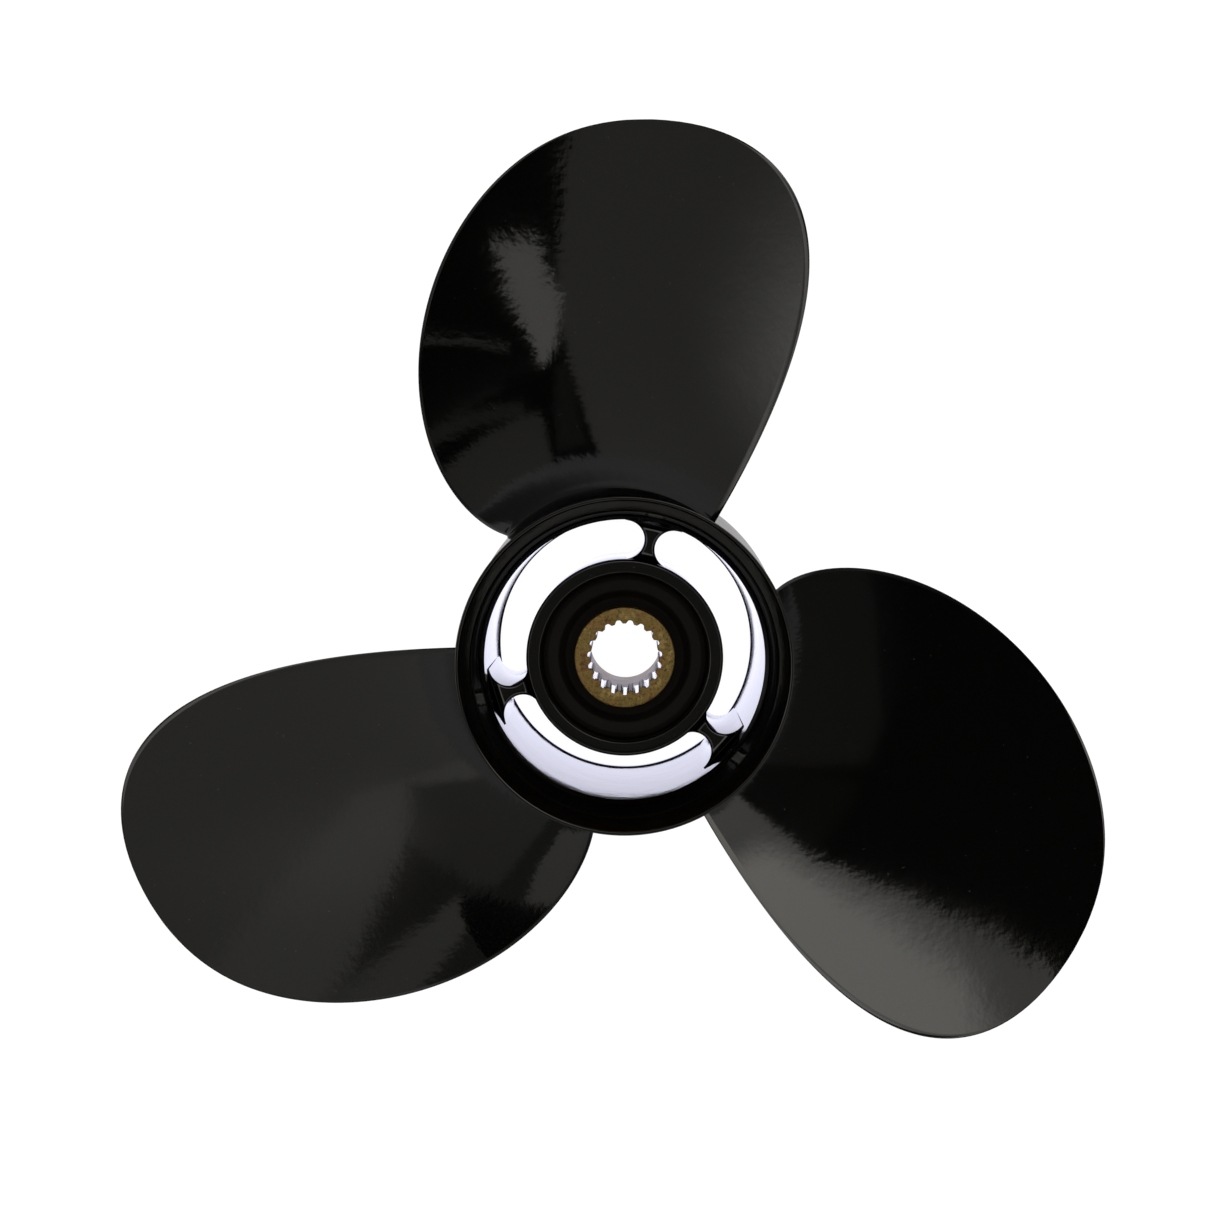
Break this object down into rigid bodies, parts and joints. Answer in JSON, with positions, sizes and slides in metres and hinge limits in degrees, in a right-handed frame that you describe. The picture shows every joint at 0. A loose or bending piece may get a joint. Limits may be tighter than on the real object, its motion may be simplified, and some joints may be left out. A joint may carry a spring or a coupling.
{
  "type": "boat propeller",
  "caption": "Outboard boat propeller with raked helical blades, exhaust passages through the hub and a splined sleeve in a rubber bush.",
  "frame": {"origin": "centre of the splined sleeve's front thrust face, on the shaft axis", "axes": "+Z aft along the shaft axis, out of the flared end of the hub; +Y close to the middle of blade_1"},
  "size_m": [0.3308, 0.3041, 0.134],
  "materials": {
    "paint": "gloss black paint on cast aluminium",
    "rubber": "matt moulded rubber",
    "brass": "dull machined brass"
  },
  "bodies": {
    "core": {"spline_sleeve": "brass", "rubber_bush": "rubber"},
    "casting": {"hub_barrel": "paint", "inner_hub": "paint", "rib_1": "paint", "rib_2": "paint", "rib_3": "paint", "blade_1": "paint", "blade_2": "paint", "blade_3": "paint"}
  },
  "joints": [
    {"name": "hub_slip", "type": "hinge", "parent": "core", "child": "casting", "pos_m": [0, 0, 0.04], "axis": [0, 0, 1], "continuous": true}
  ]
}
